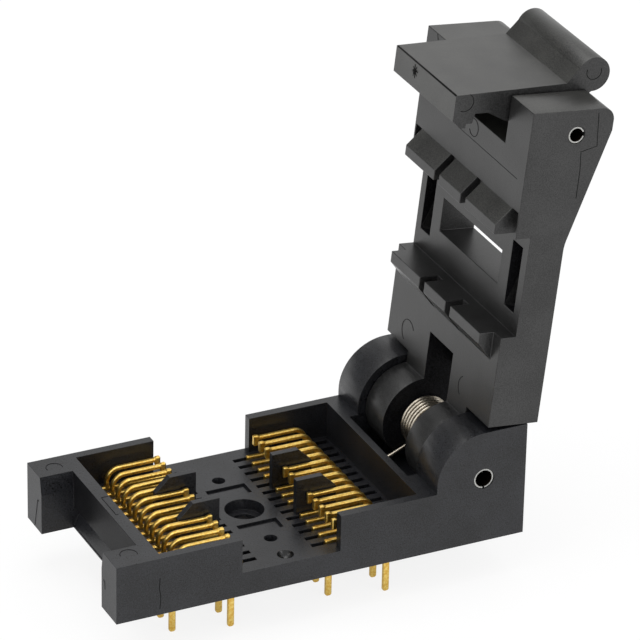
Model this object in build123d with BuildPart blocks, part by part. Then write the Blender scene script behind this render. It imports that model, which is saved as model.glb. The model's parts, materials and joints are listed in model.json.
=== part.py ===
from build123d import *
import os
from math import cos, radians, sin

os.makedirs("parts", exist_ok=True)

# A hinged clamshell test socket for a 28-lead small-outline package, all sizes in millimetres.
# The origin is the centre of the package seat, on the underside of the base. X runs from the
# latch end to the hinge end, Y along the rows of contacts and Z up, away from the board.
# The lid is modelled open, as it stands when it leans on its stop.

# Package and rows of contacts
lead_pitch = 1.27
leads_per_side = 14
inner_row = 5.08
outer_row = 10.16

# Base, with a side wall and a small gap at each end of the rows of contacts
latch_end = 16.82
floor_top = 2.34
rear_height = 5.85
post_drop = 0.18
post_depth = 3.15
post_width = 3.30
post_lead_in = 0.33
post_lead_in_height = 1.70
wall = 0.87
row_end_gap = 0.34
latch_wall_end = 4.83
hinge_wall_end = 4.68
catch_bar = 1.22
hinge_bar_in = 12.53
hinge_bar = 0.74
standoff_diameter = 1.60
standoff_height = 0.25
standoff_inset = 1.20

# Catch under the bar at the latch end
lip_height = 2.10
groove_depth = 0.55
groove_foot = 1.50
flange_height = 0.15
flange_reach = 0.05

# Hinge
hinge_x = 18.79
hinge_z = 6.43
hinge_pin_diameter = 1.98
ear_radius = 4.68
ear_back = 4.17
ear_width = 4.12
barrel_radius = 4.00
barrel_gap = 0.23
barrel_side_gap = 0.13
spring_space = 4.50

# Fits
press_fit = 0.01
running_fit = 0.05
slot_fit = 0.04
stop_gap = 0.04

# Package seat in the floor
centre_hole_diameter = 2.10
counterbore_diameter = 3.60
counterbore_depth = 1.10
guide_hole_diameter = 1.20
guide_hole_offset = 5.58
index_dimple_diameter = 1.50
index_dimple_inset = 1.44
index_dimple_depth = 0.60
corner_mark_half = 1.93
corner_mark_leg = 0.38
corner_mark_foot = 0.65
corner_mark_rise = 1.72
corner_mark_depth = 0.35
upper_mark_y = 4.27
lower_mark_y = -2.45

# Package guides, the four ribs between the contacts
guide_in = 3.76
guide_flat_out = 6.34
guide_out = 7.70
guide_shoulder = 4.50
guide_gap = 0.11

# Contacts, stamped from sheet
sheet = 0.44
tip_x = 4.64
tip_top = 4.60
tip_height = 1.05
pad_length = 0.45
pad_step = 0.12
beam = 0.38
bend_radius = 1.40
foot_reach = 0.39
foot_top = 2.62
strip_top = 2.60
strip_bottom = 1.50
strip_lead = 1.08
tail_width = 0.60
tail_length = 4.00
tail_round = 0.22
slot_in = 2.70
slot_out = 12.20

# Lid, in its own side view: t runs along the lid from the hinge pin, n outwards from its inner face
lid_tilt = 6.10
lid_gap = 0.21
lid_short = 0.20
lid_flush = 0.03
flare_start = 22.46
flare_top = 7.75
flare_end = 33.26
top_corner = 1.20
flare_blend = 4.00
pocket_floor = 1.10
pocket_low = 13.95
pocket_high = 23.50
window_width = 11.30
window_low = 17.10
window_high = 20.34
side_slot_rail = 1.00
side_slot_width = 1.77
side_slot_low = 15.85
side_slot_high = 22.10
side_slot_depth = 2.40
leg_pocket_top = 8.70

# Pressure bars, one on each side of the pocket: a flat ridge, then a slope back to the lid's face
press_gap = 0.05
bar_inset = 1.35
bar_slot_gap = 0.15
bar_slot_depth = 0.40
upper_ridge = 0.97
upper_slope = 1.46
lower_ridge = 1.05
lower_slope = 1.63
recess_rim = 0.25
recess_depth = 1.10

# Latch, turning on its own pin between the two ears at the top of the lid
latch_pin_diameter = 1.60
latch_pin_drop = 2.38
latch_pin_n = 4.23
latch_boss_radius = 1.80
latch_boss_gap = 0.28
latch_half = 5.76
latch_side_gap = 0.22
latch_clear = 0.06
latch_plate_high = 2.62
latch_plate_rise = 0.37
latch_plate_out = 0.90
latch_plate = 1.83
latch_neck = 0.13
latch_neck_root = 0.30
latch_neck_end = 4.73
latch_shoulder = 1.86
tooth_ledge = 0.40
tooth_height = 1.34
tooth_chamfer = 0.70
tooth_nose = 0.90
tooth_undercut = 0.60
tooth_back = 0.78
thumb_rise = 3.67
thumb_out = 3.47
thumb_radius = 1.60
thumb_top_angle = -30.0
thumb_root = 0.90

# Springs and roll pins
roll_pin_wall = 0.21
hinge_pin_slit = 0.12
latch_pin_slit = 0.30
pin_recess = 0.10
spring_wire = 0.36
spring_radius = 2.30
spring_turns = 9
base_leg_angle = 244.0
base_leg_slope = 24.5
base_leg_length = 4.60
lid_leg_top = 8.20
latch_spring_wire = 0.24
latch_spring_radius = 0.62
latch_spring_turns = 5
latch_spring_n = 6.25
latch_spring_pocket = 1.60
latch_spring_gap = 0.11
spring_boss_height = 0.60

# Values that follow from the sizes above
base_width = leads_per_side * lead_pitch + 2 * (row_end_gap + wall)
half_width = base_width / 2
bar_half = half_width - bar_inset
side_slot_out = half_width - side_slot_rail
side_slot_in = side_slot_out - side_slot_width
post_height = rear_height - post_drop
catch_face = post_depth - latch_end
rear_end = hinge_x + ear_back
ear_in = half_width - ear_width
cavity_floor = hinge_z - barrel_radius - barrel_gap
beam_top = tip_top - pad_step
leg_out = outer_row + tail_width / 2 - foot_reach
slot_width = sheet + 2 * slot_fit
guide_thick = lead_pitch - sheet - 2 * guide_gap
guide_y = 2 * lead_pitch
lid_face = rear_height + lid_gap - hinge_z
lid_back = ear_radius - lid_flush
lid_bottom = ear_back * sin(radians(lid_tilt)) + ear_radius * cos(radians(lid_tilt)) + stop_gap
lid_top = hinge_x + latch_end - lid_short
ridge_n = tip_top + press_gap - hinge_z
upper_root = pocket_high + upper_ridge + upper_slope
lower_root = pocket_low - lower_ridge - lower_slope
dimple_radius = (index_dimple_diameter ** 2 / 4 + index_dimple_depth ** 2) / (2 * index_dimple_depth)
barrel_out = ear_in - barrel_side_gap
latch_pin_t = lid_top - latch_pin_drop
fork_floor = latch_pin_t - latch_boss_radius - latch_boss_gap
fork_half = latch_half + latch_side_gap
tooth_tip = hinge_x - catch_face + latch_clear
tooth_catch = lip_height - latch_clear - hinge_z
contact_rows = [(leads_per_side / 2 + 0.5 - number) * lead_pitch for number in range(1, leads_per_side + 1)]


def span(x_from, x_to, y_from, y_to, mode=Mode.ADD):
    """A rectangle of the current sketch between two limits each way."""
    with Locations(((x_from + x_to) / 2, (y_from + y_to) / 2)):
        Rectangle(abs(x_to - x_from), abs(y_to - y_from), mode=mode)


def lid_point(t, n):
    """X and Z of a point of the lid's side view, with the lid on its open stop."""
    lean = radians(lid_tilt)
    return (hinge_x + t * sin(lean) + n * cos(lean), hinge_z + t * cos(lean) - n * sin(lean))


# The lid's side view, with t to the right and n up, and the view on to its inner face
lean = radians(lid_tilt)
lid_side = Plane(origin=(hinge_x, 0, hinge_z), x_dir=(sin(lean), 0, cos(lean)), z_dir=(0, 1, 0))
lid_plan = Plane(origin=(hinge_x, 0, hinge_z), x_dir=(0, 1, 0), z_dir=(cos(lean), 0, -sin(lean)))

# The floor of the lid's fork, seen from the latch, with its origin under the latch spring
spring_seat = lid_point(fork_floor, latch_spring_n)
fork_plane = Plane(origin=(spring_seat[0], 0, spring_seat[1]), x_dir=(0, 1, 0), z_dir=(sin(lean), 0, cos(lean)))

# Base: a floor, two posts and a catch bar at the latch end, low side walls, a bar and two hinge ears
with BuildPart() as base:
    with BuildSketch(Plane.XY):
        span(catch_face, rear_end, -half_width, half_width)
    extrude(amount=floor_top)
    with BuildSketch(Plane.XY):
        for side in (-1, 1):
            span(-latch_end, catch_face, side * (half_width - post_width), side * half_width)
            span(catch_face, -latch_wall_end, side * (half_width - wall), side * half_width)
        span(catch_face, catch_face + catch_bar, -half_width, half_width)
    extrude(amount=post_height)
    with BuildSketch(Plane.XY):
        for side in (-1, 1):
            span(hinge_wall_end, hinge_x, side * (half_width - wall), side * half_width)
        span(hinge_bar_in, hinge_bar_in + hinge_bar, -half_width, half_width)
    extrude(amount=rear_height)

    # Each ear is round about the hinge pin at the front and square at the back
    for side in (-1, 1):
        with BuildSketch(Plane.XZ.offset(side * (half_width - ear_width / 2))):
            with Locations((hinge_x, hinge_z)):
                Circle(ear_radius)
            span(hinge_x, hinge_x + ear_radius, hinge_z - ear_radius, hinge_z + ear_radius, mode=Mode.SUBTRACT)
            span(hinge_x - ear_radius, rear_end, 0, hinge_z)
            span(hinge_x, rear_end, 0, hinge_z + ear_radius)
        extrude(amount=ear_width / 2, both=True)
    with BuildSketch(Plane.XY):
        for side in (-1, 1):
            span(hinge_bar_in, hinge_x, side * ear_in, side * half_width)
    extrude(amount=rear_height)
    with BuildSketch(Plane.XY.offset(cavity_floor)):
        span(hinge_bar_in + hinge_bar, rear_end, -ear_in, ear_in)
    extrude(amount=floor_top, mode=Mode.SUBTRACT)

    # Under the catch bar a lip holds the latch, above a groove that runs out to a thin flange
    with BuildSketch(Plane.XZ):
        with BuildLine():
            Polyline(
                (-latch_end, lip_height),
                (catch_face + groove_depth, lip_height),
                (catch_face + groove_depth, groove_foot),
                (catch_face - flange_reach, flange_height),
                (-latch_end, flange_height),
                close=True,
            )
        make_face()
    extrude(amount=half_width - post_width, both=True, mode=Mode.SUBTRACT)
    with BuildSketch(Plane.XY):
        span(catch_face - flange_reach, catch_face, post_width - half_width, half_width - post_width)
    extrude(amount=flange_height)

    # The posts are eased towards the notch, so that the latch finds its way in
    with BuildSketch(Plane.YZ.offset(-latch_end)):
        for side in (-1, 1):
            with BuildLine():
                Polyline(
                    (side * (half_width - post_width), post_height),
                    (side * (half_width - post_width + post_lead_in), post_height),
                    (side * (half_width - post_width), post_height - post_lead_in_height),
                    close=True,
                )
            make_face()
    extrude(amount=post_depth, mode=Mode.SUBTRACT)

    # Guides rise between the contacts and centre the package
    for row in (-guide_y, guide_y):
        with BuildSketch(Plane.XZ.offset(row)):
            with BuildLine():
                Polyline(
                    (guide_in, 0),
                    (guide_in, rear_height),
                    (guide_flat_out, rear_height),
                    (guide_out, guide_shoulder),
                    (guide_out, 0),
                    close=True,
                )
            make_face()
            mirror(about=Plane.YZ)
        extrude(amount=guide_thick / 2, both=True)

    # Each contact lies in a slot of the floor, with a hole for its tail
    for side in (-1, 1):
        for row in contact_rows:
            with BuildSketch(Plane.XY.offset(strip_bottom)):
                span(side * slot_in, side * slot_out, row - slot_width / 2, row + slot_width / 2)
            extrude(amount=floor_top - strip_bottom, mode=Mode.SUBTRACT)
    with BuildSketch(Plane.XY):
        for number, row in enumerate(contact_rows, start=1):
            left_tail = outer_row if number % 2 else inner_row
            right_tail = inner_row if number % 2 else outer_row
            for x in (-left_tail, right_tail):
                span(x - tail_width / 2 - slot_fit, x + tail_width / 2 + slot_fit,
                     row - slot_width / 2, row + slot_width / 2)
    extrude(amount=strip_bottom, mode=Mode.SUBTRACT)

    # Package seat: a counterbored hole, two guide holes, an index dimple and two corner marks
    with Locations((0, 0, floor_top)):
        CounterBoreHole(centre_hole_diameter / 2, counterbore_diameter / 2, counterbore_depth, floor_top)
    with Locations((0, guide_hole_offset, floor_top), (0, -guide_hole_offset, floor_top)):
        Hole(guide_hole_diameter / 2, floor_top)
    with Locations((0, index_dimple_inset - half_width, floor_top + dimple_radius - index_dimple_depth)):
        Sphere(dimple_radius, mode=Mode.SUBTRACT)
    with BuildSketch(Plane.XY.offset(floor_top)):
        for mark_y in (upper_mark_y, lower_mark_y):
            span(-corner_mark_half, corner_mark_half, mark_y - corner_mark_foot, mark_y)
            span(corner_mark_half - corner_mark_leg, corner_mark_half, mark_y - corner_mark_rise, mark_y)
    extrude(amount=-corner_mark_depth, mode=Mode.SUBTRACT)

    # Standoffs under the corners, and the bore of the hinge pin
    with BuildSketch(Plane.XY):
        for x in (standoff_inset - latch_end, rear_end - standoff_inset):
            for y in (standoff_inset - half_width, half_width - standoff_inset):
                with Locations((x, y)):
                    Circle(standoff_diameter / 2)
    extrude(amount=-standoff_height)
    with BuildSketch(Plane.XZ):
        with Locations((hinge_x, hinge_z)):
            Circle(hinge_pin_diameter / 2 + press_fit)
    extrude(amount=half_width, both=True, mode=Mode.SUBTRACT)

base.part.label = "base"
export_step(base.part, "parts/base.step")


def make_contact(side, row, tail_x):
    """One contact: a sprung beam over a leg, on a strip that ends in a tail through the board."""
    across = Plane((0, row, 0), x_dir=(side, 0, 0), z_dir=(0, -side, 0))
    bend = (leg_out - bend_radius, beam_top - bend_radius)
    foot_x = leg_out + foot_reach
    leg_in = leg_out - beam
    nose_x = tip_x + pad_length
    with BuildPart() as contact:
        with BuildSketch(across):
            with BuildLine():
                Polyline(
                    (bend[0], beam_top),
                    (nose_x + pad_step, beam_top),
                    (nose_x, tip_top),
                    (tip_x, tip_top),
                    (tip_x, tip_top - tip_height),
                    (nose_x, tip_top - tip_height),
                    (nose_x + pad_step, beam_top - beam),
                    (bend[0], beam_top - beam),
                )
                CenterArc(bend, bend_radius - beam, 0, 90)
                Polyline(
                    (leg_in, bend[1]),
                    (leg_in, strip_top),
                    (inner_row - strip_lead, strip_top),
                    (inner_row - strip_lead, strip_bottom),
                    (foot_x, strip_bottom),
                    (foot_x, foot_top),
                    (leg_out, foot_top),
                    (leg_out, bend[1]),
                )
                CenterArc(bend, bend_radius, 0, 90)
            make_face()
        extrude(amount=sheet / 2, both=True)
        with BuildSketch(across):
            span(tail_x - tail_width / 2, tail_x + tail_width / 2, -tail_length, strip_top)
            fillet(vertices().group_by(Axis.Y)[0], tail_round)
        extrude(amount=sheet / 2, both=True)
    return contact.part


for number, row in enumerate(contact_rows, start=1):
    for name, side, near in (("left", -1, number % 2 == 0), ("right", 1, number % 2 == 1)):
        contact = make_contact(side, row, inner_row if near else outer_row)
        contact.label = f"contact_{name}_{number:02d}"
        export_step(contact, f"parts/{contact.label}.step")


# Lid: a thick plate that flares towards the latch, with two barrels on the hinge pin
with BuildPart() as lid:
    with BuildSketch(lid_side):
        with BuildLine():
            Polyline(
                (lid_bottom, lid_face),
                (lid_top, lid_face),
                (lid_top, flare_top),
                (flare_end, flare_top),
                (flare_start, lid_back),
                (lid_bottom, lid_back),
                close=True,
            )
        make_face()
        corner = vertices().sort_by_distance((lid_top, flare_top))[0]
        fillet(corner, top_corner)
        bend = vertices().sort_by_distance((flare_start, lid_back))[0]
        fillet(bend, flare_blend)
    extrude(amount=half_width, both=True)

    # Package pocket across the inner face, with a recess beside each end of the upper bar
    with BuildSketch(lid_side):
        span(pocket_low, pocket_high, lid_face, pocket_floor)
    extrude(amount=half_width, both=True, mode=Mode.SUBTRACT)
    with BuildSketch(lid_plan.offset(lid_face)):
        for side in (-1, 1):
            span(side * bar_half, side * (half_width - recess_rim), pocket_high, upper_root)
    extrude(amount=recess_depth, mode=Mode.SUBTRACT)

    # Pressure bars on each side of the pocket, each cut through where the guides of the base stand
    with BuildSketch(lid_side):
        for inner, outer, root in ((pocket_high, pocket_high + upper_ridge, upper_root),
                                   (pocket_low, pocket_low - lower_ridge, lower_root)):
            with BuildLine():
                Polyline(
                    (inner, lid_face + bar_slot_depth),
                    (inner, ridge_n),
                    (outer, ridge_n),
                    (root, lid_face),
                    (root, lid_face + bar_slot_depth),
                    close=True,
                )
            make_face()
    extrude(amount=bar_half, both=True)
    with BuildSketch(lid_plan.offset(ridge_n)):
        for row in (-guide_y, guide_y):
            half_slot = guide_thick / 2 + bar_slot_gap
            span(row - half_slot, row + half_slot, lower_root, pocket_low)
            span(row - half_slot, row + half_slot, pocket_high, upper_root)
    extrude(amount=lid_face + bar_slot_depth - ridge_n, mode=Mode.SUBTRACT)

    # Window over the package and two blind side slots
    with BuildSketch(lid_plan.offset(pocket_floor)):
        span(-window_width / 2, window_width / 2, window_low, window_high)
    extrude(amount=lid_back, mode=Mode.SUBTRACT)
    with BuildSketch(lid_plan.offset(pocket_floor)):
        for side in (-1, 1):
            span(side * side_slot_in, side * side_slot_out, side_slot_low, side_slot_high)
    extrude(amount=side_slot_depth, mode=Mode.SUBTRACT)

    # Fork for the latch, with a short boss that keeps the latch spring in place
    with BuildSketch(lid_plan.offset(lid_face)):
        span(-fork_half, fork_half, fork_floor, lid_top)
    extrude(amount=flare_top - lid_face, mode=Mode.SUBTRACT)
    with BuildSketch(fork_plane):
        Circle(latch_spring_radius - latch_spring_wire / 2 - running_fit)
    extrude(amount=spring_boss_height)

    # Hinge barrels on each side of the spring, and the arms that carry them
    with BuildSketch(lid_side):
        Circle(barrel_radius)
        span(0, lid_bottom, lid_face, barrel_radius)
    extrude(amount=barrel_out, both=True)
    with BuildSketch(lid_side):
        Circle(barrel_radius + barrel_gap)
        span(0, lid_bottom, -barrel_radius - barrel_gap, barrel_radius + barrel_gap)
        span(lid_bottom, leg_pocket_top, lid_face, spring_radius + spring_wire / 2 + running_fit)
    extrude(amount=spring_space / 2, both=True, mode=Mode.SUBTRACT)

    # Bores of the two pins
    with BuildSketch(lid_side):
        Circle(hinge_pin_diameter / 2 + running_fit)
    extrude(amount=half_width, both=True, mode=Mode.SUBTRACT)
    with BuildSketch(lid_side):
        with Locations((latch_pin_t, latch_pin_n)):
            Circle(latch_pin_diameter / 2 + press_fit)
    extrude(amount=half_width, both=True, mode=Mode.SUBTRACT)

lid.part.label = "lid"
export_step(lid.part, "parts/lid.step")

# Latch: a plate over the lid's end with a hooked tooth on one side of its pin and a thumb bar on the other
with BuildPart() as latch:
    plate_end = tooth_catch - tooth_height
    plate_n = latch_pin_n + latch_plate_out
    thumb_turn = radians(thumb_top_angle)
    plate_low = latch_pin_t + latch_plate_high
    plate_high = plate_low + latch_plate_rise
    plate_under = plate_low - latch_plate
    thumb = (latch_pin_t + thumb_rise, latch_pin_n + thumb_out)
    with BuildSketch(lid_side):
        with BuildLine():
            Polyline(
                (plate_low, plate_end),
                (plate_high, plate_n),
                (thumb[0] + thumb_radius * cos(thumb_turn), thumb[1] + thumb_radius * sin(thumb_turn)),
                thumb,
                (thumb[0] - thumb_radius, thumb[1]),
                (latch_pin_t + thumb_root, latch_pin_n + latch_boss_radius),
                (latch_pin_t, latch_pin_n),
                (latch_pin_t - latch_neck_root, latch_pin_n - latch_boss_radius),
                (latch_pin_t - latch_neck, latch_pin_n - latch_neck_end),
                (plate_under, latch_pin_n - latch_neck_end - latch_shoulder),
                (plate_under, tooth_catch + tooth_back),
                (tooth_tip + tooth_ledge, tooth_catch + tooth_undercut),
                (tooth_tip + tooth_ledge, tooth_catch),
                (tooth_tip, tooth_catch),
                (tooth_tip, plate_end + tooth_nose),
                (tooth_tip + tooth_chamfer, plate_end),
                close=True,
            )
        make_face()
        with Locations((latch_pin_t, latch_pin_n)):
            Circle(latch_boss_radius)
        with Locations(thumb):
            Circle(thumb_radius)
        with Locations((latch_pin_t, latch_pin_n)):
            Circle(latch_pin_diameter / 2 + running_fit, mode=Mode.SUBTRACT)
    extrude(amount=latch_half, both=True)

    # A blind pocket in the underside takes the top of the latch spring
    with BuildSketch(fork_plane):
        Circle(latch_spring_radius + latch_spring_wire / 2 + latch_spring_gap)
    extrude(amount=latch_pin_t + latch_spring_pocket - fork_floor, mode=Mode.SUBTRACT)

latch.part.label = "latch"
export_step(latch.part, "parts/latch.step")


def make_roll_pin(centre, diameter, slit, slit_angle):
    """A slotted spring pin, rolled from sheet, across the whole width."""
    with BuildPart() as pin:
        with BuildSketch(Plane((centre[0], 0, centre[1]), x_dir=(1, 0, 0), z_dir=(0, -1, 0))):
            Circle(diameter / 2)
            Circle(diameter / 2 - roll_pin_wall, mode=Mode.SUBTRACT)
            turn = radians(slit_angle)
            with Locations(Location((cos(turn) * diameter / 2, sin(turn) * diameter / 2, 0), slit_angle)):
                Rectangle(2 * roll_pin_wall + diameter / 4, slit, mode=Mode.SUBTRACT)
        extrude(amount=half_width - pin_recess, both=True)
    return pin.part


hinge_pin = make_roll_pin((hinge_x, hinge_z), hinge_pin_diameter, hinge_pin_slit, 270)
hinge_pin.label = "hinge_pin"
export_step(hinge_pin, "parts/hinge_pin.step")

latch_pin = make_roll_pin(lid_point(latch_pin_t, latch_pin_n), latch_pin_diameter, latch_pin_slit, 0)
latch_pin.label = "latch_pin"
export_step(latch_pin, "parts/latch_pin.step")

# Lid spring: a torsion spring round the hinge pin. Its first leg stands on the base behind the bar,
# the coil runs forward along the pin, and its last leg lies in the pocket of the lid.
coil_half = spring_space / 2 - spring_wire / 2 - running_fit
coil_turns = spring_turns + (360 - lid_tilt - base_leg_angle) / 360
coil_start = Plane(
    origin=(hinge_x, coil_half, hinge_z),
    x_dir=(cos(radians(base_leg_angle)), 0, sin(radians(base_leg_angle))),
    z_dir=(0, -1, 0),
)
lid_coil = coil_start * Helix(pitch=2 * coil_half / coil_turns, height=2 * coil_half, radius=spring_radius)
base_leg_way = Vector(-cos(radians(base_leg_slope)), 0, -sin(radians(base_leg_slope)))
with BuildPart() as lid_spring:
    with BuildSketch(Plane(origin=lid_coil @ 0, z_dir=lid_coil % 0)):
        Circle(spring_wire / 2)
    sweep(path=lid_coil, is_frenet=True)
    lid_end = faces().filter_by(GeomType.PLANE).sort_by(Axis.Y)[0]
    extrude(lid_end, amount=lid_leg_top, dir=(sin(lean), 0, cos(lean)))
    with BuildSketch(Plane(origin=lid_coil @ 0, z_dir=base_leg_way)):
        Circle(spring_wire / 2)
    extrude(amount=base_leg_length)
    with Locations(lid_coil @ 0):
        Sphere(spring_wire / 2)

lid_spring.part.label = "lid_spring"
export_step(lid_spring.part, "parts/lid_spring.step")

# Latch spring: a small compression spring that pushes the thumb bar away from the lid
latch_spring_length = latch_pin_t + latch_spring_pocket - fork_floor - latch_spring_wire - 2 * slot_fit
latch_coil = fork_plane.offset(latch_spring_wire / 2 + slot_fit) * Helix(
    pitch=latch_spring_length / latch_spring_turns, height=latch_spring_length, radius=latch_spring_radius
)
with BuildPart() as latch_spring:
    with BuildSketch(Plane(origin=latch_coil @ 0, z_dir=latch_coil % 0)):
        Circle(latch_spring_wire / 2)
    sweep(path=latch_coil, is_frenet=True)

latch_spring.part.label = "latch_spring"
export_step(latch_spring.part, "parts/latch_spring.step")
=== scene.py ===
# %% [markdown]
# A hinged test socket for a 28-lead small-outline package, open on its stop.
# The solids come in from the frame at their real size. This file gives them their looks:
# soft mould edges, the marks that the mould leaves, real springs, gold and steel, and the light.
# Every length here is in metres, and MM turns millimetres into them.

# %% Start from the frame
import bmesh
import bpy
import json
from math import cos, hypot, radians, sin, tau
from mathutils import Matrix, Vector


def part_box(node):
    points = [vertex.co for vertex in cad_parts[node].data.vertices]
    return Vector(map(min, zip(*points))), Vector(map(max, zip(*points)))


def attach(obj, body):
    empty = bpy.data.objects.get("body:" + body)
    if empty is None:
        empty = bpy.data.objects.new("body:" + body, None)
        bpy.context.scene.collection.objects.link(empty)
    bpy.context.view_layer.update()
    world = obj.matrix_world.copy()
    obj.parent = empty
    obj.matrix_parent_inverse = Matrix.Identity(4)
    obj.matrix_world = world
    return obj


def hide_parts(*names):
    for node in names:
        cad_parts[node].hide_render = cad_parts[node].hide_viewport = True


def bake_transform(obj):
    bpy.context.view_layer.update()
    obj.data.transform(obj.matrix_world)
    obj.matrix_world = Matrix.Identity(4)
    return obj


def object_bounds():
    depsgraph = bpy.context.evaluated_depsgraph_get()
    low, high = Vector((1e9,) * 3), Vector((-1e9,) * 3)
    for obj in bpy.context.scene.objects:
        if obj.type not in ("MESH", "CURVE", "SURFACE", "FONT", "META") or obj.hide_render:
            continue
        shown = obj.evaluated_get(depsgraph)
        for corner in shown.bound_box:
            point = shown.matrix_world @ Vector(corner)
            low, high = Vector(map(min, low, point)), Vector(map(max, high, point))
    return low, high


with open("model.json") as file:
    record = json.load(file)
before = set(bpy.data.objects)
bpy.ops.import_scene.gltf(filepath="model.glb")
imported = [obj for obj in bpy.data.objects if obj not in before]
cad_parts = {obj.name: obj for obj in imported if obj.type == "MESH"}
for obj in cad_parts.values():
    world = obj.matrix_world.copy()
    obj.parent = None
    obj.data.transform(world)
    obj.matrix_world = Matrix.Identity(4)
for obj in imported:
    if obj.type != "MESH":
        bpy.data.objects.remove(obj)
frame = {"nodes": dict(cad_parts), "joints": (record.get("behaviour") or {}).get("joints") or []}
cad_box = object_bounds()
nodes = frame["nodes"]
MM = 0.001
print("nodes in the frame:", len(nodes))

# %% [markdown]
# The camera comes first. The photograph was taken with a long lens from the latch end, a little
# above the socket, so parallel edges stay almost parallel. A point to aim at, two angles, a roll
# and a distance place it, and the lens sets how large the socket is in the picture.

# %% Camera
aim = Vector((7.079, -0.092, 20.033)) * MM
azimuth, elevation, roll = radians(-26.11), radians(27.712), radians(1.263)
distance = 413.406 * MM
camera_data = bpy.data.cameras.new("camera")
camera_data.lens = 263.1
camera_data.sensor_width = 36.0
camera_data.clip_start = 10 * MM
camera = bpy.data.objects.new("camera", camera_data)
bpy.context.scene.collection.objects.link(camera)
bpy.context.scene.camera = camera
back = Vector((sin(azimuth) * cos(elevation), -cos(azimuth) * cos(elevation), sin(elevation)))
facing = back.to_track_quat("Z", "Y").to_matrix()
camera.location = aim + back * distance
camera.rotation_euler = (facing @ Matrix.Rotation(roll, 3, "Z")).to_euler()
print("camera is", round(distance / MM), "mm away")

# %% [markdown]
# Colours are written as the hex values that a painter would pick on a screen. A shader wants
# linear light, so one function turns them over. The others each add a node with its settings and
# links, which keeps a material short enough to read as a recipe.

# %% Colour and node helpers
def linear(hex_colour):
    """The linear RGBA of an sRGB hex colour such as #2b2b2d."""
    channels = [int(hex_colour[i:i + 2], 16) / 255 for i in (1, 3, 5)]
    return [c / 12.92 if c <= 0.04045 else ((c + 0.055) / 1.055) ** 2.4 for c in channels] + [1.0]


def add_node(tree, kind, inputs=None, **settings):
    """A new node with its settings. An input is a value, or the output socket that feeds it."""
    node = tree.nodes.new(kind)
    for name, value in settings.items():
        setattr(node, name, value)
    for name, value in (inputs or {}).items():
        if isinstance(value, bpy.types.NodeSocket):
            tree.links.new(value, node.inputs[name])
        else:
            node.inputs[name].default_value = value
    return node


def new_material(name):
    """An empty material, its node tree and the place on the object that its patterns follow."""
    material = bpy.data.materials.new(name)
    material.use_nodes = True
    tree = material.node_tree
    tree.nodes.clear()
    return material, tree, add_node(tree, "ShaderNodeTexCoord").outputs["Object"]


def noise(tree, place, size_mm, detail):
    """A noise with features of about this size in millimetres."""
    inputs = {"Vector": place, "Scale": 1 / (size_mm * MM), "Detail": detail}
    return add_node(tree, "ShaderNodeTexNoise", inputs).outputs["Fac"]


def remap(tree, value, old, new):
    """Stretches one range of a value, given as (low, high), over another."""
    inputs = {
        "Value": value, "From Min": old[0], "From Max": old[1], "To Min": new[0], "To Max": new[1],
    }
    return add_node(tree, "ShaderNodeMapRange", inputs).outputs["Result"]


def two_tones(tree, value, deep, pale, low, high):
    """A deep colour below the low value, a pale one above the high value, and a blend between."""
    ramp = add_node(tree, "ShaderNodeValToRGB", {"Fac": value})
    for element, position, colour in zip(ramp.color_ramp.elements, (low, high), (deep, pale)):
        element.position = position
        element.color = linear(colour)
    return ramp.outputs["Color"]


def bump(tree, height, strength, depth_mm):
    """A normal that follows a height, as if it were cut this deep."""
    inputs = {"Height": height, "Strength": strength, "Distance": depth_mm * MM}
    return add_node(tree, "ShaderNodeBump", inputs).outputs["Normal"]


# %% [markdown]
# The body is a glass-filled high-temperature thermoplastic, moulded black. Its skin copies an
# eroded tool, so it is matt, and short glass fibres just under it scatter fine lighter specks.
# Two noises do that: a broad one for slight changes of tone where the melt flowed, and a fine one
# for the specks, for the roughness between them and for the eroded skin, which moves the normal.
# The real grain is finer, perhaps 0.03 mm. It is drawn at 0.11 mm, or it wouldn't show here.
# Black plastic shows what it reflects far more than its own colour. So how grey a face looks is
# mostly its sheen, the shader's specular level. Each sheen below was matched to the photograph by
# patches of grey, not taken from a measured plastic.

# %% Moulded thermoplastic
FLOW_MM, SPECK_MM = 4.0, 0.11
FLOW_SHARE = 0.35           # how much the flow counts in the tone, where the specks count 1
TONE_RANGE = (0.52, 0.86)   # the sum of both, from the deep tone to the pale one
SPECK_RANGE = (0.3, 0.7)
SMOOTHER, ROUGHER = 0.07, 0.09
SKIN_STRENGTH, SKIN_DEPTH_MM = 0.6, 0.018
PLASTIC_IOR = 1.50


def moulded_thermoplastic(finish, deep, pale, roughness, sheen):
    """Black plastic from an eroded mould, between a deep and a pale tone."""
    material, tree, place = new_material("moulded_thermoplastic_" + finish)
    flow = noise(tree, place, FLOW_MM, 3.0)
    specks = noise(tree, place, SPECK_MM, 4.0)
    tone = add_node(tree, "ShaderNodeMath", {0: flow, 1: FLOW_SHARE, 2: specks},
                    operation="MULTIPLY_ADD").outputs["Value"]
    spread = remap(tree, tone, TONE_RANGE, (0.0, 1.0))
    shader = add_node(tree, "ShaderNodeBsdfPrincipled", {
        "Base Color": two_tones(tree, spread, deep, pale, 0.0, 1.0),
        "Roughness": remap(tree, specks, SPECK_RANGE, (roughness - SMOOTHER, roughness + ROUGHER)),
        "IOR": PLASTIC_IOR, "Specular IOR Level": sheen,
        "Normal": bump(tree, specks, SKIN_STRENGTH, SKIN_DEPTH_MM),
    })
    add_node(tree, "ShaderNodeOutputMaterial", {"Surface": shader.outputs[0]})
    return material


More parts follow.
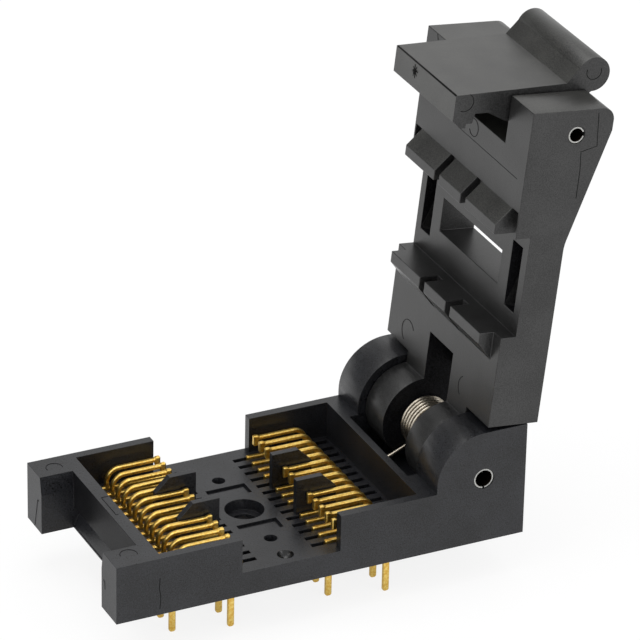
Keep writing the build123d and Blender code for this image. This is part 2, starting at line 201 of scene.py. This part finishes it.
base_plastic = moulded_thermoplastic("base", "#030304", "#26272b", 0.33, 0.42)
lid_plastic = moulded_thermoplastic("lid", "#0c0c0c", "#2e2e2e", 0.36, 0.50)
latch_plastic = moulded_thermoplastic("latch", "#0a0a09", "#3c3c39", 0.38, 0.65)
# Polished, and darker than the base: the darker tone is painted shade in the dimple's hollow
polished_painted_shade_plastic = moulded_thermoplastic("polished", "#030304", "#0e0f10", 0.22, 0.45)
# The base's plastic with less sheen: painted shade for the posts' ends
end_painted_shade_plastic = moulded_thermoplastic("end", "#030304", "#26272b", 0.36, 0.28)
# A darker copy with almost no sheen: painted shade for faces deep in the base and the lid
recess_painted_shade_plastic = moulded_thermoplastic("recess_painted_shade", "#060607", "#1d1d1f", 0.35, 0.05)
# Near black with little sheen: painted shade for the mould's fine marks
mark_painted_shade_plastic = moulded_thermoplastic("flash_painted_shade", "#020202", "#121212", 0.50, 0.12)
print("plastics:", base_plastic.name, lid_plastic.name, latch_plastic.name)

# %% [markdown]
# The contacts are stamped from copper alloy strip and plated with gold over nickel. Plating follows
# the stamped edge, so it is bright but not a mirror, with fine streaks where the punch sheared the
# strip. Gold is a metal: its colour is its reflection, and its IOR stays at the default.

# %% Gold plating
STREAK_MM, PLATING_MM = 0.09, 0.22
STREAK_STRETCH = (1.0, 0.12, 1.0)   # the streaks run through the strip, along Y
STREAK_RANGE, PLATING_RANGE = (0.3, 0.7), (0.35, 0.65)
STREAK_STRENGTH, STREAK_DEPTH_MM = 0.1, 0.0002
BRIGHTER, DULLER = 0.04, 0.06       # how far the streaks move the roughness down and up


def plated_gold(name, deep, pale, roughness):
    """Gold plate on stamped strip, streaked across its sheared edges."""
    material, tree, place = new_material(name)
    along_shear = add_node(tree, "ShaderNodeMapping", {"Vector": place, "Scale": STREAK_STRETCH})
    streaks = noise(tree, along_shear.outputs["Vector"], STREAK_MM, 3.0)
    patches = noise(tree, place, PLATING_MM, 2.0)
    shader = add_node(tree, "ShaderNodeBsdfPrincipled", {
        "Base Color": two_tones(tree, patches, deep, pale, *PLATING_RANGE),
        "Metallic": 1.0,
        "Roughness": remap(tree, streaks, STREAK_RANGE, (roughness - BRIGHTER, roughness + DULLER)),
        "Normal": bump(tree, streaks, STREAK_STRENGTH, STREAK_DEPTH_MM),
    })
    add_node(tree, "ShaderNodeOutputMaterial", {"Surface": shader.outputs[0]})
    return material


contact_gold = plated_gold("plated_gold_contact", "#dcb050", "#f0d27a", 0.33)
print("gold:", contact_gold.name)

# %% [markdown]
# Both springs are drawn stainless wire and the pins are rolled from spring strip. Drawing and
# rolling leave fine marks in the metal. In the photograph only the cut end of a pin is bright, as a
# thin ring. So its rim, bore and outside are drawn in a dark steel: in the bore and the slit this
# dark is painted shade.

# %% Spring steel
DRAWN_RANGE = (0.35, 0.65)
DRAWN_STRENGTH, DRAWN_DEPTH_MM = 0.2, 0.0008


def drawn_steel(name, deep, pale, roughness, grain_mm):
    """Spring steel with fine drawing marks."""
    material, tree, place = new_material(name)
    marks = noise(tree, place, grain_mm, 3.0)
    shader = add_node(tree, "ShaderNodeBsdfPrincipled", {
        "Base Color": two_tones(tree, marks, deep, pale, *DRAWN_RANGE),
        "Metallic": 1.0,
        "Roughness": roughness,
        "Normal": bump(tree, marks, DRAWN_STRENGTH, DRAWN_DEPTH_MM),
    })
    add_node(tree, "ShaderNodeOutputMaterial", {"Surface": shader.outputs[0]})
    return material


spring_steel = drawn_steel("drawn_stainless_wire", "#a69c8c", "#d8d0c1", 0.30, 0.12)
pin_steel = drawn_steel("rolled_spring_steel", "#8f8f8c", "#c4c4c1", 0.36, 0.10)
dark_steel = drawn_steel("dark_steel_painted_shade", "#15100c", "#2a211a", 0.45, 0.10)
print("steels:", spring_steel.name, pin_steel.name, dark_steel.name)

# %% [markdown]
# A moulded edge is never knife sharp: the tool's own corner rounds it, and that round catches a
# thin line of light. The solids have sharp edges, so each gets three modifiers. Weld joins the
# facets, Decimate makes each flat face one polygon again, and Bevel rounds the edges between them.
# A stamped contact is rounder than a moulded edge, so its bevel is wide enough to take its whole
# thin edge, and isn't held back where two rounds meet.

# %% Dress the solids
MOULD_EDGE, STAMPED_EDGE, PIN_EDGE = 0.07 * MM, 0.13 * MM, 0.04 * MM
WELD_WITHIN = 0.001 * MM
FLAT_WITHIN, SHARP_BEYOND = radians(1.0), radians(35)


def dress(node, material, edge, segments=2, clamp=True):
    """Gives a solid its material and soft edges of that radius."""
    node.data.materials.clear()
    node.data.materials.append(material)
    weld = node.modifiers.new("join facets", "WELD")
    weld.merge_threshold = WELD_WITHIN
    flat = node.modifiers.new("whole faces", "DECIMATE")
    flat.decimate_type = "DISSOLVE"
    flat.angle_limit = FLAT_WITHIN
    flat.delimit = {"NORMAL", "MATERIAL"}
    bevel = node.modifiers.new("soft edges", "BEVEL")
    bevel.width = edge
    bevel.segments = segments
    bevel.limit_method = "ANGLE"
    bevel.angle_limit = SHARP_BEYOND
    bevel.harden_normals = True
    bevel.use_clamp_overlap = clamp


for name, node in nodes.items():
    if name.startswith("contact"):
        dress(node, contact_gold, STAMPED_EDGE, segments=3, clamp=False)
for name, material in (("base", base_plastic), ("lid", lid_plastic), ("latch", latch_plastic)):
    dress(nodes[name], material, MOULD_EDGE)
for name in ("hinge_pin", "latch_pin"):
    dress(nodes[name], pin_steel, PIN_EDGE)
print("dressed every solid but the two springs, which are drawn below")

# %% [markdown]
# Some faces get a lighter or darker copy of the plastic, to match how light or dark each is in the
# photograph. This is painted light and shade, not a skin of their own. The catch bar's outer face,
# the spring's pocket and the lid's blind slots get painted shade, the posts' ends and the latch's
# sides a duller sheen as painted shade, and the lid's top and the slopes of its bars, which look
# up, the latch's brighter sheen as a painted highlight. The index dimple is polished, and its
# darker tone is painted shade in its hollow. The photographer's light isn't known: a real part may
# well have one skin all over.
# A rule picks each group by where its faces lie, in millimetres, and by which way they look.

# %% Faces with painted light and shade
hinge = Vector(frame["joints"][0]["pos_m"])
LID_TILT = radians(6.10)
along_lid = Vector((sin(LID_TILT), 0, cos(LID_TILT)))
out_of_lid = Vector((cos(LID_TILT), 0, -sin(LID_TILT)))
FACES, LEANS = 0.9, 0.3   # how much of a normal lies in a direction that it faces, or leans to


def paint(node, material, *rules):
    """Gives one more material to the faces that fit any of the rules."""
    node.data.materials.append(material)
    index = len(node.data.materials) - 1
    for face in node.data.polygons:
        if any(rule(face.center / MM, face.normal) for rule in rules):
            face.material_index = index


def from_hinge(place):
    """How far a place lies along the lid, and out of its face, in millimetres."""
    reach = place * MM - hinge
    return reach.dot(along_lid) / MM, reach.dot(out_of_lid) / MM


def on_catch_face(place, normal):
    """The outer face of the base's catch bar."""
    return normal.x < -FACES and abs(place.x + 13.67) < 0.02


def in_index_dimple(place, normal):
    """The round index dimple in the floor, by the near side."""
    return hypot(place.x, place.y + 8.66) < 0.74 and place.z < 2.33


def on_post_end(place, normal):
    """The outer ends of the two posts."""
    return normal.x < -FACES and place.x < -16.7


def on_latch_side(place, normal):
    """The two sides of the latch and of its thumb bar."""
    return abs(normal.y) > FACES


def in_spring_pocket(place, normal):
    """The ends of the lid's barrels, and its pocket where the spring's leg lies."""
    t, n = from_hinge(place)
    on_lid_face = normal.dot(out_of_lid) < -FACES and n < 2.4
    return abs(place.y) < 2.27 and t < 8.75 and not on_lid_face


def in_side_slot(place, normal):
    """The two blind slots beside the lid's window."""
    t, n = from_hinge(place)
    return 7.2 < abs(place.y) < 9.2 and 15.8 < t < 22.2 and -0.35 < n < 2.3


def on_lid_top(place, normal):
    """The lid's free end, which looks up while it is open."""
    return normal.dot(along_lid) > FACES and place.z > 36.0


def on_bar_slope(place, normal):
    """The slopes of the lid's two pressure bars that look up while it is open."""
    return normal.dot(along_lid) > LEANS and normal.dot(out_of_lid) < -LEANS and place.z > 20.0


def round_a_pin(place, normal):
    """A pin's outside, its bore and its slit."""
    return abs(normal.y) < 0.5


# Painted shade on the catch bar's outer face
paint(nodes["base"], recess_painted_shade_plastic, on_catch_face)
# The index dimple: real polish, with painted shade in its hollow
paint(nodes["base"], polished_painted_shade_plastic, in_index_dimple)
# Painted shade on the posts' ends
paint(nodes["base"], end_painted_shade_plastic, on_post_end)
# Painted shade: the latch's sides take the lid's darker plastic
paint(nodes["latch"], lid_plastic, on_latch_side)
# Painted shade in the lid's spring pocket, at its barrels' ends and in its blind slots
paint(nodes["lid"], recess_painted_shade_plastic, in_spring_pocket, in_side_slot)
# Painted highlight: the lid's top and bar slopes, which look up, take the latch's brighter plastic
paint(nodes["lid"], latch_plastic, on_lid_top, on_bar_slope)
# The pins' outsides, bores and slits, and the rounds of their rims, get the dark steel: painted
# shade in the bores and slits
for name in ("hinge_pin", "latch_pin"):
    paint(nodes[name], dark_steel, round_a_pin)
    bevel = nodes[name].modifiers["soft edges"]
    bevel.material = nodes[name].data.materials.find(dark_steel.name)
print("painted the faces that differ")

# %% [markdown]
# A spring is wire on a path. The path is a list of points: the coil is worked out from its radius
# and turns, and each leg leaves it on its own line. One function then carries a ring of points
# along the path and skins it, and keeps the ring square to the wire, which a plain sweep wouldn't
# do at the bends.

# %% Wire along a path
DOME = 0.5   # how far the tip of a wire stands out, in its radius


def wire_mesh(name, path, radius, material, sides=14):
    """A round wire along a path of points, with domed ends."""
    built = bmesh.new()
    last = len(path) - 1
    tangents = [
        (path[min(i + 1, last)] - path[max(i - 1, 0)]).normalized() for i in range(len(path))
    ]
    angles = [tau * k / sides for k in range(sides)]
    across = tangents[0].orthogonal().normalized()
    rings = []
    for point, tangent in zip(path, tangents):
        across = (across - tangent * across.dot(tangent)).normalized()
        up = tangent.cross(across)
        rings.append([
            built.verts.new(point + radius * (cos(a) * across + sin(a) * up)) for a in angles
        ])
    for low, high in zip(rings, rings[1:]):
        for k in range(sides):
            following = (k + 1) % sides
            built.faces.new((low[k], low[following], high[following], high[k]))
    start = (rings[0], path[0], -tangents[0], True)
    end = (rings[-1], path[-1], tangents[-1], False)
    for rim, point, outward, flipped in (start, end):
        tip = built.verts.new(point + outward * radius * DOME)
        for k in range(sides):
            pair = (rim[k], rim[(k + 1) % sides])
            built.faces.new((*reversed(pair), tip) if flipped else (*pair, tip))
    for face in built.faces:
        face.smooth = True
    mesh = bpy.data.meshes.new(name)
    built.to_mesh(mesh)
    built.free()
    mesh.materials.append(material)
    piece = bpy.data.objects.new(name, mesh)
    bpy.context.scene.collection.objects.link(piece)
    return piece


# %% [markdown]
# The lid's torsion spring sits round the hinge pin. Its nine turns lie close together between the
# two barrels, one leg stands on the base behind the bar and the other lies up the lid's pocket.
# When the lid shuts, the coil winds up. WIRE and COIL are radii.

# %% Lid spring
WIRE, COIL, COIL_HALF = 0.165 * MM, 2.30 * MM, 2.02 * MM
LEG_ANGLE, LEG_SLOPE, BASE_LEG = radians(244.0), radians(24.5), 4.60 * MM
LID_LEG = 8.20 * MM
BASE_LEG_STEPS, LID_LEG_STEPS = 12, 16
FULL_TURNS, STEPS_PER_TURN = 9, 40
turns = FULL_TURNS + (tau - LID_TILT - LEG_ANGLE) / tau
steps = round(turns * STEPS_PER_TURN)
coil = []
for i in range(steps + 1):
    angle = LEG_ANGLE + tau * turns * i / steps
    height = COIL_HALF - 2 * COIL_HALF * i / steps
    coil.append(Vector((hinge.x + COIL * cos(angle), height, hinge.z + COIL * sin(angle))))
leg_way = Vector((-cos(LEG_SLOPE), 0, -sin(LEG_SLOPE)))
base_leg = [
    coil[0] + leg_way * BASE_LEG * (1 - i / BASE_LEG_STEPS) for i in range(BASE_LEG_STEPS)
]
lid_leg = [
    coil[-1] + along_lid * LID_LEG * i / LID_LEG_STEPS for i in range(1, LID_LEG_STEPS + 1)
]
lid_spring = wire_mesh("lid_spring_wire", base_leg + coil + lid_leg, WIRE, spring_steel)
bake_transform(lid_spring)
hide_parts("lid_spring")
print("lid spring:", round(turns, 2), "turns")

# %% [markdown]
# The latch spring is hidden in the fork of the lid: a small compression spring on a boss, which
# holds the tooth under its bar. It gets shorter as the latch lets go. LATCH_WIRE and LATCH_COIL are
# radii.

# %% Latch spring
LATCH_WIRE, LATCH_COIL, LATCH_TURNS = 0.12 * MM, 0.62 * MM, 5
LATCH_LENGTH = 3.30 * MM
low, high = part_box("latch_spring")
middle = (low + high) / 2
steps = LATCH_TURNS * STEPS_PER_TURN
coil = []
for i in range(steps + 1):
    angle = tau * i / STEPS_PER_TURN
    rise = LATCH_LENGTH * (i / steps - 0.5)
    outward = cos(angle) * Vector((0, 1, 0)) + sin(angle) * out_of_lid
    coil.append(middle + along_lid * rise + LATCH_COIL * outward)
latch_spring = wire_mesh("latch_spring_wire", coil, LATCH_WIRE, spring_steel, sides=10)
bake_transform(latch_spring)
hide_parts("latch_spring")
print("latch spring:", LATCH_TURNS, "turns")

# %% [markdown]
# The tool leaves its own marks: rings where the ejectors push, hairlines where two pieces of the
# tool meet and a torn spot where the melt came in. Each is a hair of plastic, half sunk in a face,
# and drawn near black: that dark is painted shade, for the shade in the fine steps of the marks.
# A mark on the base is placed by X, Y and Z. A mark on the lid or the latch is placed by how far it
# lies along the lid from the hinge, out of its face, and across it.

# %% Marks of the mould
HAIR = 0.035 * MM
HAIR_SIDES = 6
X, Y = Vector((1, 0, 0)), Vector((0, 1, 0))
POST_TOP, POST_END, NEAR_SIDE = 5.67, -16.82, -10.10   # faces of the base, in mm
LID_FACE, LATCH_SIDE, LATCH_END = -0.37, -5.76, -5.68  # faces of the lid and the latch, in mm
GATE = (34.75, -5.73, 1.95)
GATE_STROKES = ((0.62, 82), (0.50, 40), (0.55, -12), (0.58, 118), (0.42, 155))  # mm, degrees
CORE_HAIRS, STROKE_HAIRS = 5, 1.2


def on_base(x, y, z):
    """A point of the base, in millimetres."""
    return Vector((x, y, z)) * MM


def on_lid(t, n, y):
    """A point of the lid or the latch, in millimetres along the lid, out of its face and across."""
    return hinge + (along_lid * t + out_of_lid * n + Vector((0, y, 0))) * MM


def hairline(name, body, points, radius=HAIR):
    """A fine raised line along points, drawn near black as painted shade, which rides on a body."""
    piece = wire_mesh(name, points, radius, mark_painted_shade_plastic, HAIR_SIDES)
    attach(piece, body)


def ring(centre, radius_mm, across, up, start, end):
    """Points round a centre, between two angles in degrees."""
    steps = max(8, round((end - start) / 10))
    angles = [radians(start + (end - start) * i / steps) for i in range(steps + 1)]
    return [centre + (across * cos(a) + up * sin(a)) * radius_mm * MM for a in angles]


ejector_marks = (
    ("far_post", "base", on_base(-14.93, 8.32, POST_TOP), 0.75, X, Y, -15, 195),
    ("near_post", "base", on_base(-14.89, -8.30, POST_TOP), 0.77, X, Y, -20, 180),
    ("latch", "latch", on_lid(34.95, -4.78, LATCH_SIDE), 0.85, out_of_lid, along_lid, -110, 60),
    ("thumb", "latch", on_lid(36.95, 7.71, LATCH_SIDE), 0.73, out_of_lid, along_lid, -200, 20),
    ("lid_far", "lid", on_lid(6.80, LID_FACE, 6.30), 1.15, Y, along_lid, -60, 150),
    ("lid_near", "lid", on_lid(6.53, LID_FACE, -5.10), 1.15, Y, along_lid, -50, 60),
    ("lid_top", "lid", on_lid(29.95, LID_FACE, -0.34), 0.81, Y, along_lid, 60, 330),
)
for name, body, centre, radius_mm, across, up, start, end in ejector_marks:
    hairline("ejector_" + name, body, ring(centre, radius_mm, across, up, start, end))

# Each line has a name, its body, its thickness in hairs, how its points are placed, and the points
tool_lines = (
    ("insert_catch_end", "base", 1, on_base, ((-13.21, 1.66, POST_TOP), (-12.58, 1.66, POST_TOP))),
    ("insert_catch_side", "base", 1, on_base,
     ((-13.20, 1.66, POST_TOP), (-13.20, -1.62, POST_TOP), (-13.00, -1.62, POST_TOP))),
    ("parting_post", "base", 1, on_base,
     ((POST_END, 7.40, 3.10), (POST_END, 7.66, 3.14), (POST_END, 8.40, 0.05))),
    ("parting_front", "base", 1, on_base,
     ((-12.70, NEAR_SIDE, 3.70), (-12.76, NEAR_SIDE, 2.60),
      (-12.62, NEAR_SIDE, 1.90), (-12.70, NEAR_SIDE, 0.60))),
    ("gate_post", "base", 1, on_base,
     ((POST_END, -7.28, 3.02), (POST_END, -7.52, 2.90), (POST_END, -7.60, 2.20))),
    ("parting_lid_side", "lid", 1, on_lid,
     ((35.0, 6.11, NEAR_SIDE), (31.86, 6.42, NEAR_SIDE), (31.42, 4.89, NEAR_SIDE),
      (29.7, 5.07, NEAR_SIDE), (27.0, 5.1, NEAR_SIDE))),
    ("insert_lid_face", "lid", 0.7, on_lid, ((28.85, LID_FACE, 2.40), (28.75, LID_FACE, -8.86))),
    ("insert_lid_shoulder", "lid", 1, on_lid, ((35.38, LID_FACE, 8.21), (34.85, LID_FACE, 7.98))),
    # A thick dark line along the latch end's edge: painted shade on the edge's round
    ("latch_edge_painted_shade", "latch", 2.6, on_lid, ((35.63, LATCH_END, 5.60), (35.63, LATCH_END, -5.70))),
)
for name, body, hairs, placed, points in tool_lines:
    hairline(name, body, [placed(*point) for point in points], hairs * HAIR)

# The gate on the latch's end tore in a star: a short thick core and five strokes through it
gate = on_lid(*GATE)
core = [gate - along_lid * 0.22 * MM, gate, gate + along_lid * 0.16 * MM + Y * 0.1 * MM]
hairline("gate_latch", "latch", core, CORE_HAIRS * HAIR)
for number, (reach_mm, angle) in enumerate(GATE_STROKES):
    stroke = (Y * cos(radians(angle)) + along_lid * sin(radians(angle))) * reach_mm * MM
    hairline(f"gate_latch_{number}", "latch", [gate - stroke, gate + stroke], STROKE_HAIRS * HAIR)
print("mould marks:", len(ejector_marks) + len(tool_lines) + 1 + len(GATE_STROKES))

# %% [markdown]
# The floor is a plain pale sheet under the tails. The camera sees it as white paper with a soft
# shadow. Reflections see it lifted too, but less, so that the low faces stay dark.
# The room is white as well, and gives most of the light. Behind the socket and to its left it
# falls off to a quarter, so that glossy faces which look that way stay black, as they do beside
# an unlit wall. The camera sees it white all round.

# %% Floor and world
PAPER_MM = 6.0
LIFT_FOR_CAMERA, LIFT_IN_REFLECTIONS = 0.86, 0.4
FLOOR_GAP, FLOOR_SIZE = 0.02 * MM, 4.0
UNLIT_SIDE = (-0.52, 0.83, 0.20)
UNLIT_FALL, ROOM_STRENGTH = (0.55, 0.97), (1.03, 0.25)
WHITE = (1, 1, 1, 1)


def paper_material():
    """White paper, lifted towards pure white for the camera and for reflections."""
    material, tree, place = new_material("white_paper")
    fibre = noise(tree, place, PAPER_MM, 2.0)
    colour = two_tones(tree, fibre, "#f4f4f4", "#fafafa", 0.0, 1.0)
    paper = add_node(tree, "ShaderNodeBsdfDiffuse", {"Color": colour})
    white = add_node(tree, "ShaderNodeEmission", {"Color": WHITE, "Strength": 1.0})
    ray = add_node(tree, "ShaderNodeLightPath").outputs
    for_camera = add_node(tree, "ShaderNodeMath", {0: ray["Is Camera Ray"], 1: LIFT_FOR_CAMERA},
                          operation="MULTIPLY").outputs[0]
    lift = add_node(tree, "ShaderNodeMath",
                    {0: ray["Is Glossy Ray"], 1: LIFT_IN_REFLECTIONS, 2: for_camera},
                    operation="MULTIPLY_ADD").outputs[0]
    mix = add_node(tree, "ShaderNodeMixShader", {0: lift, 1: paper.outputs[0], 2: white.outputs[0]})
    add_node(tree, "ShaderNodeOutputMaterial", {"Surface": mix.outputs[0]})
    return material


floor_level = cad_box[0].z - FLOOR_GAP
bpy.ops.mesh.primitive_plane_add(size=FLOOR_SIZE, location=(0, 0, floor_level))
floor = bpy.context.object
floor.name = "floor"
floor.data.materials.append(paper_material())

world = bpy.data.worlds.new("studio")
bpy.context.scene.world = world
world.use_nodes = True
tree = world.node_tree
tree.nodes.clear()
ray = add_node(tree, "ShaderNodeLightPath").outputs
seen = add_node(tree, "ShaderNodeMath", {0: ray["Is Camera Ray"], 1: ray["Is Transmission Ray"]},
                operation="MAXIMUM").outputs[0]
way = add_node(tree, "ShaderNodeTexCoord").outputs["Generated"]
to_unlit_side = add_node(tree, "ShaderNodeVectorMath", {0: way, 1: UNLIT_SIDE},
                         operation="DOT_PRODUCT").outputs["Value"]
strength = remap(tree, to_unlit_side, UNLIT_FALL, ROOM_STRENGTH)
room = add_node(tree, "ShaderNodeBackground", {"Color": WHITE, "Strength": strength})
white = add_node(tree, "ShaderNodeBackground", {"Color": WHITE, "Strength": 1.0})
mix = add_node(tree, "ShaderNodeMixShader", {0: seen, 1: room.outputs[0], 2: white.outputs[0]})
add_node(tree, "ShaderNodeOutputWorld", {"Surface": mix.outputs[0]})
print("floor at", round(floor_level / MM, 2), "mm")

# %% [markdown]
# Product light on top of the room's: a large soft box overhead, which gives the tops their grey, a
# weaker one up on the left for the latch end, and a small one low on the right that draws the near
# side out of black.

# %% Lights
def soft_box(name, place_mm, size_mm, watts):
    """A square soft box that faces the socket."""
    light = bpy.data.lights.new(name, "AREA")
    light.shape = "SQUARE"
    light.size = size_mm * MM
    light.energy = watts
    lamp = bpy.data.objects.new(name, light)
    bpy.context.scene.collection.objects.link(lamp)
    lamp.location = Vector(place_mm) * MM
    lamp.rotation_euler = (lamp.location - aim).to_track_quat("Z", "Y").to_euler()


soft_box("key_left", (-420, -60, 330), 320, 0.3)
soft_box("overhead", (0, 60, 520), 360, 0.8)
soft_box("fill_right", (150, -260, 110), 120, 0.1)

bpy.context.scene.view_settings.view_transform = "Standard"
